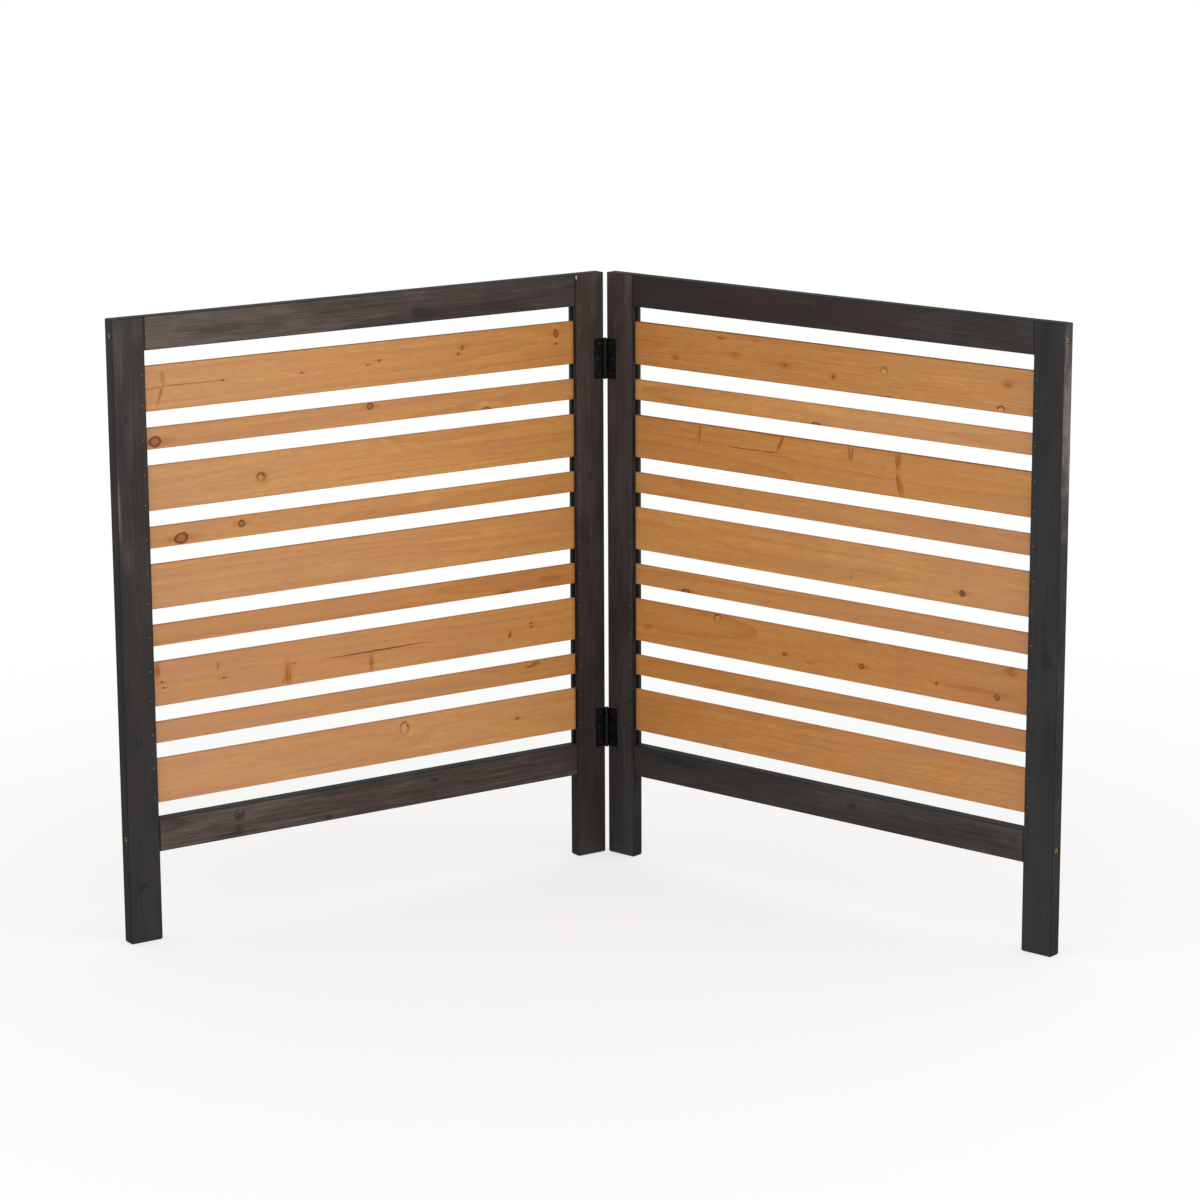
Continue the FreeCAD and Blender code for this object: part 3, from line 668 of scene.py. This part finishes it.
def frame_material(node, seed, stain):
    """Planed fir under a dark wiping stain, rubbed thin on the faces and left thick on edges and feet.

    The eye sees a charcoal board streaked with brown, black arrises, smudged knots and a dull satin sheen.
    Painted shade darkens its hinge end, its foot, its joints with the posts and its side faces between the
    slats, and painted light brightens its outer end, its top and the outer side of the right outer post.
    """
    material = new_material(f"dark_stained_fir_{node}")
    tree = material.node_tree
    board = Board(node)
    knots = SOLID_KNOTS.get(node, [])
    place = board_place(tree, board)
    eased = grain_round_knots(tree, place, knots)
    late = growth_rings(tree, place, eased, board, seed, stain.ring_width * MM_PER_M)
    fibre = streaks(tree, place, seed + 3, length=70, width=1.3, detail=4)
    mottle = streaks(tree, place, seed + 17, length=30, width=9, detail=3)
    bands = streaks(tree, place, seed + 5, length=220, width=5, detail=3)
    soak = streaks(tree, place, seed + 7, length=150, width=40, detail=3)
    specks = streaks(tree, place, seed + 19, length=3, width=2, detail=2)
    flecks = streaks(tree, place, seed + 15, length=9, width=1.3, detail=2)
    ragged = ragged_rim(tree, place, seed + 9, size=6, depth=1.0)
    scuffed = ragged_rim(tree, place, seed + 21, size=14, depth=0.3)

    # The noises' mean comes off the thinness, so that a board has the thinness given for its ends.
    figure = POST_FIGURE if node.endswith("post") else 1.0
    along = add(tree, "ShaderNodeSeparateXYZ", {0: place}, out="X")
    # From end to end the thinness carries painted shade at the hinge end and foot and painted light at the
    # outer end and top.
    start_stain_and_light, end_stain_and_light = STAIN_THINNESS_AND_LIGHT[node]
    thinness = add(tree, "ShaderNodeMapRange", {
        "Value": along, "From Min": -board.half.x, "From Max": board.half.x,
        "To Min": start_stain_and_light - FRAME_NOISE_MEAN * figure,
        "To Max": end_stain_and_light - FRAME_NOISE_MEAN * figure})
    for part, weight in ((late, -0.16), (fibre, 0.56), (mottle, 0.20), (bands, 0.26), (soak, 0.28)):
        thinness = add(tree, "ShaderNodeMath", {
            0: part, 1: weight * figure, 2: thinness}, operation="MULTIPLY_ADD")
    if node.endswith("rail"):
        thinness = rail_marks(tree, board, along, soak, thinness)

    tails = spot_tails(tree, place, knots, ragged, reach=1.8)
    sunken = nearest_spot(tree, place, SUNKEN_KNOTS.get(node, []), ragged)
    tint = add(tree, "ShaderNodeMapRange", {
        "Value": sunken, "From Min": 1.5, "From Max": 0.4, "To Min": 0.0, "To Max": 1.0,
    }, interpolation_type="SMOOTHSTEP")
    smudge = add(tree, "ShaderNodeMath", {0: tails, 1: tint}, operation="MAXIMUM")
    thinness = add(tree, "ShaderNodeMath", {0: smudge, 1: -0.38, 2: thinness}, operation="MULTIPLY_ADD")
    # The narrow faces go near black: soaked stain at the arrises, and painted shade where a post's side faces
    # stand between the slats.
    edge = edge_share(tree, place, board)
    thinness = add(tree, "ShaderNodeMath", {0: edge, 1: -0.45, 2: thinness}, operation="MULTIPLY_ADD")
    # Rubbed scuffs thin the stain, and on the right outer post the side facing the key lamp is painted light.
    for mark, thinning in RUBBED_AND_LIT.get(node, []):
        rubbed = nearest_spot(tree, place, [mark], scuffed)
        wear_and_painted_light = add(tree, "ShaderNodeMapRange", {
            "Value": rubbed, "From Min": 1.4, "From Max": 0.2, "To Min": 0.0, "To Max": thinning,
        }, interpolation_type="SMOOTHSTEP")
        thinness = add(tree, "ShaderNodeMath", {0: thinness, 1: wear_and_painted_light}, operation="ADD")

    rim = nearest_spot(tree, place, knots, ragged)
    inside = add(tree, "ShaderNodeMapRange", {
        "Value": rim, "From Min": 1.4, "From Max": 0.5, "To Min": 0.0, "To Max": 1.0,
    }, interpolation_type="SMOOTHSTEP")
    # Inside a knot the stain lies dark, with tan specks where the hard wood refused it.
    refused = add(tree, "ShaderNodeMapRange", {
        "Value": specks, "From Min": 0.5, "From Max": 0.68, "To Min": -0.2, "To Max": 0.55})
    thinness = add(tree, "ShaderNodeMath", {0: refused, 1: inside, 2: thinness}, operation="MULTIPLY_ADD")
    timber = add(tree, "ShaderNodeValToRGB", {0: thinness}, stops=(
        (0.0, stain.soaked), (1.0, stain.thin), (0.34, stain.thick), (0.5, stain.charcoal),
        (0.72, stain.brown)))
    warm_at_start, warm_at_end = STAIN_WARMTH.get(node, (1.0, 1.0))
    warmth = add(tree, "ShaderNodeMapRange", {
        "Value": along, "From Min": -board.half.x, "From Max": board.half.x,
        "To Min": warm_at_start, "To Max": warm_at_end})
    timber = add(tree, "ShaderNodeHueSaturation", {"Saturation": warmth, "Color": timber})

    # Even thick stain shows the grain, as fine lines a shade lighter or darker.
    grain = add(tree, "ShaderNodeMath", {0: fibre, 1: soak}, operation="ADD")
    grain = add(tree, "ShaderNodeMath", {0: grain, 1: 0.024, 2: -0.024}, operation="MULTIPLY_ADD")
    timber = add(tree, "ShaderNodeVectorMath", {0: timber, 1: grain}, operation="ADD")
    timber = add(tree, "ShaderNodeVectorMath", {0: timber, 1: stain.soaked[:3]}, operation="MAXIMUM")
    fleck = add(tree, "ShaderNodeMapRange", {
        "Value": flecks, "From Min": 0.68, "From Max": 0.84, "To Min": 0.0, "To Max": 0.4})
    timber = add(tree, "ShaderNodeMix", {SHARE: fleck, UNDER: timber, OVER: stain.thin}, **COLOUR_MIX)
    if node in CHIPS:
        chip = nearest_spot(tree, place, CHIPS[node], ragged)
        bared = add(tree, "ShaderNodeMapRange", {
            "Value": chip, "From Min": 1.1, "From Max": 0.8, "To Min": 0.0, "To Max": 1.0})
        timber = add(tree, "ShaderNodeMix", {SHARE: bared, UNDER: timber, OVER: stain.bare}, **COLOUR_MIX)

    sheen = add(tree, "ShaderNodeMapRange", {
        "Value": fibre, "From Min": 0.3, "From Max": 0.7, "To Min": 0.48, "To Max": 0.60})
    sheen = add(tree, "ShaderNodeMath", {0: edge, 1: 0.25, 2: sheen}, operation="MULTIPLY_ADD")
    relief = add(tree, "ShaderNodeMath", {0: fibre, 1: 0.6, 2: late}, operation="MULTIPLY_ADD")
    bump = add(tree, "ShaderNodeBump", {"Strength": 0.4, "Distance": GRAIN_RELIEF, "Height": relief})
    finish_surface(tree, {
        "Base Color": timber, "Roughness": sheen, "IOR": 1.5, "Specular IOR Level": 0.27, "Normal": bump})
    return material


def coated_metal(name, tint, grain, roughness, metallic, mottle):
    """Coated steel: a thin even film with a slight ripple, duller where it lies rough."""
    material = new_material(name)
    tree = material.node_tree
    place = add(tree, "ShaderNodeTexCoord", out="Object")
    ripple = add(tree, "ShaderNodeTexNoise", {"Vector": place, "Scale": 1 / grain, "Detail": 2.0})
    cloud = add(tree, "ShaderNodeTexNoise", {"Vector": place, "Scale": 0.12 / grain, "Detail": 3.0})
    paler = [min(1.0, channel * (1 + mottle)) for channel in tint[:3]] + [1.0]
    film = add(tree, "ShaderNodeMix", {SHARE: cloud, UNDER: tint, OVER: paler}, **COLOUR_MIX)
    dull = add(tree, "ShaderNodeMapRange", {
        "Value": cloud, "From Min": 0.3, "From Max": 0.7,
        "To Min": roughness - 0.06, "To Max": roughness + 0.08})
    bump = add(tree, "ShaderNodeBump", {"Strength": 0.2, "Distance": grain / 10, "Height": ripple})
    finish_surface(tree, {
        "Base Color": film, "Metallic": metallic, "Roughness": dull, "Specular IOR Level": 0.18,
        "Normal": bump})
    return material


class SCREEN_OT_stain_slats(bpy.types.Operator):
    """Stain every slat honey brown, each with its own grain, knots and cracks"""

    bl_idname = "screen.stain_slats"
    bl_label = "Stain the slats"

    def execute(self, context):
        stain = context.scene.screen_slats
        for side_index, side in enumerate(SIDES):
            for number in SLAT_NUMBERS:
                node = f"{side}_slat_{number}"
                dress(node, slat_material(node, number + SLAT_SEED_STEP * side_index, stain))
        return {"FINISHED"}


class SCREEN_OT_stain_frames(bpy.types.Operator):
    """Stain the posts and rails dark, each with its own grain"""

    bl_idname = "screen.stain_frames"
    bl_label = "Stain the frames"

    def execute(self, context):
        stain = context.scene.screen_frame
        for side_index, side in enumerate(SIDES):
            for board_index, board in enumerate(POSTS + RAILS):
                node = f"{side}_{board}"
                seed = FRAME_SEED_START + board_index + FRAME_SEED_STEP * side_index
                dress(node, frame_material(node, seed, stain))
        return {"FINISHED"}


class SCREEN_OT_blacken_hinges(bpy.types.Operator):
    """Coat the hinge leaves, their pins and their screws black"""

    bl_idname = "screen.blacken_hinges"
    bl_label = "Blacken the hinges"

    def execute(self, context):
        iron = context.scene.screen_ironwork
        coat = coated_metal(
            "baked_black_steel", iron.black, iron.coat_grain, roughness=0.3, metallic=0.0, mottle=0.6)
        for level in ("upper", "lower"):
            for piece in ("left_leaf", "right_leaf", "pin"):
                dress(f"{level}_hinge_{piece}", coat)
        heads = coated_metal(
            "blackened_screw_steel", iron.screw_black, iron.coat_grain, roughness=0.32, metallic=0.6,
            mottle=0.8)
        for side in SIDES:
            dress(f"{side}_hinge_screws", heads)
        return {"FINISHED"}


class SCREEN_OT_plate_fasteners(bpy.types.Operator):
    """Plate the long rail screws yellow and dull the slat brads"""

    bl_idname = "screen.plate_fasteners"
    bl_label = "Plate the fasteners"

    def execute(self, context):
        iron = context.scene.screen_ironwork
        plated = coated_metal(
            "yellow_zinc_steel", iron.yellow_zinc, iron.coat_grain, roughness=0.5, metallic=0.8, mottle=0.35)
        dulled = coated_metal(
            "stain_dulled_steel", iron.brad_steel, iron.coat_grain, roughness=0.6, metallic=0.3, mottle=0.4)
        for side in SIDES:
            dress(f"{side}_rail_screws", plated)
            dress(f"{side}_slat_brads", dulled)
        return {"FINISHED"}


def seen_directly(tree):
    """1 for rays that show the background itself: from the camera, in a gloss or through glass."""
    path = add(tree, "ShaderNodeLightPath").node.outputs
    seen = path["Is Camera Ray"]
    for ray in ("Is Glossy Ray", "Is Transmission Ray"):
        seen = add(tree, "ShaderNodeMath", {0: seen, 1: path[ray]}, operation="MAXIMUM")
    return seen


def pale_floor(studio):
    """A matt pale floor that reads as the white background but keeps part of the screen's shadow."""
    material = new_material("pale_studio_floor")
    tree = material.node_tree
    # A third of the shadow stays by the feet and none beyond two metres, where the background begins.
    place = add(tree, "ShaderNodeTexCoord", out="Object")
    distance = add(tree, "ShaderNodeVectorMath", {0: place}, out="Value", operation="LENGTH")
    whiteness = add(tree, "ShaderNodeMapRange", {
        "Value": distance, "From Min": 0.5, "From Max": 2.0, "To Min": 0.67, "To Max": 1.0,
    }, interpolation_type="SMOOTHSTEP")
    white = add(tree, "ShaderNodeEmission", {"Color": (1, 1, 1, 1), "Strength": 1.0})
    paint = add(tree, "ShaderNodeBsdfDiffuse", {"Color": studio.floor_pale})
    share = add(tree, "ShaderNodeMath", {0: seen_directly(tree), 1: whiteness}, operation="MULTIPLY")
    mixed = add(tree, "ShaderNodeMixShader", {0: share, 1: paint, 2: white})
    output = tree.nodes.new("ShaderNodeOutputMaterial")
    tree.links.new(mixed, output.inputs["Surface"])
    return material


def area_lamp(name, place, target, size, power):
    """A square soft light at a place, turned to a target."""
    lamp = bpy.data.lights.new(name, "AREA")
    lamp.size = size
    lamp.energy = power
    obj = bpy.data.objects.new(name, lamp)
    obj.location = place
    obj.rotation_euler = (Vector(target) - Vector(place)).to_track_quat("-Z", "Y").to_euler()
    bpy.context.scene.collection.objects.link(obj)


class SCREEN_OT_set_stage(bpy.types.Operator):
    """Lay the floor, hang the lights and stand the camera where the screen was seen from"""

    bl_idname = "screen.set_stage"
    bl_label = "Set the stage"

    def execute(self, context):
        studio = context.scene.screen_studio
        scene = context.scene
        scene.view_settings.view_transform = "Standard"

        floor_half = 60.0
        sheet = bmesh.new()
        bmesh.ops.create_grid(sheet, x_segments=1, y_segments=1, size=floor_half)
        mesh = bpy.data.meshes.new("studio_floor")
        sheet.to_mesh(mesh)
        sheet.free()
        mesh.materials.append(pale_floor(studio))
        floor = bpy.data.objects.new("studio_floor", mesh)
        scene.collection.objects.link(floor)

        world = bpy.data.worlds.new("white_studio")
        world.use_nodes = True
        tree = world.node_tree
        tree.nodes.clear()
        level = add(tree, "ShaderNodeMath", {0: seen_directly(tree), 1: studio.ambient}, operation="MAXIMUM")
        sky = add(tree, "ShaderNodeBackground", {"Color": (1, 1, 1, 1), "Strength": level})
        output = tree.nodes.new("ShaderNodeOutputWorld")
        tree.links.new(sky, output.inputs["Surface"])
        scene.world = world

        middle = (0, 0, 0.5)
        area_lamp("key_light", (2.7, -1.35, 1.3), middle, size=2.0, power=studio.key_power)
        area_lamp("fill_light", (-2.7, -1.35, 1.3), middle, size=2.0, power=studio.fill_power)

        camera_from_hinge = Vector((0.3344, -5.9020, 1.7737))
        yaw, pitch, roll = (math.radians(angle) for angle in (3.339, 77.110, -0.257))
        camera = bpy.data.cameras.new("camera")
        camera.sensor_width = 36.0
        camera.lens = studio.focal_length
        camera.clip_end = 4 * floor_half
        obj = bpy.data.objects.new("camera", camera)
        turn = Matrix.Rotation(yaw, 4, "Z") @ Matrix.Rotation(pitch, 4, "X") @ Matrix.Rotation(roll, 4, "Z")
        obj.matrix_world = Matrix.Translation(HINGE_AXIS + camera_from_hinge) @ turn
        scene.collection.objects.link(obj)
        scene.camera = obj
        return {"FINISHED"}


class SCREEN_PT_finishes(bpy.types.Panel):
    """The screen's finishes and stage"""

    bl_label = "Slatted screen"
    bl_idname = "SCREEN_PT_finishes"
    bl_space_type = "VIEW_3D"
    bl_region_type = "UI"
    bl_category = "Screen"

    def draw(self, context):
        for group in GROUPS:
            settings = getattr(context.scene, group)
            box = self.layout.box()
            for name in settings.bl_rna.properties.keys():
                if name not in ("rna_type", "name"):
                    box.prop(settings, name)
        for operator in OPERATORS:
            self.layout.operator(operator.bl_idname)


GROUPS = {
    "screen_slats": SlatStain,
    "screen_frame": FrameStain,
    "screen_ironwork": Ironwork,
    "screen_studio": Studio,
}
OPERATORS = (
    SCREEN_OT_stain_slats,
    SCREEN_OT_stain_frames,
    SCREEN_OT_blacken_hinges,
    SCREEN_OT_plate_fasteners,
    SCREEN_OT_set_stage,
)
CLASSES = (*GROUPS.values(), *OPERATORS, SCREEN_PT_finishes)


def register():
    for item in CLASSES:
        bpy.utils.register_class(item)
    for name, group in GROUPS.items():
        setattr(bpy.types.Scene, name, PointerProperty(type=group))


def unregister():
    for name in GROUPS:
        delattr(bpy.types.Scene, name)
    for item in reversed(CLASSES):
        bpy.utils.unregister_class(item)


def main():
    """Dresses and stages the screen."""
    register()
    bpy.ops.screen.stain_slats()
    bpy.ops.screen.stain_frames()
    bpy.ops.screen.blacken_hinges()
    bpy.ops.screen.plate_fasteners()
    bpy.ops.screen.set_stage()


if __name__ == "__main__":
    main()
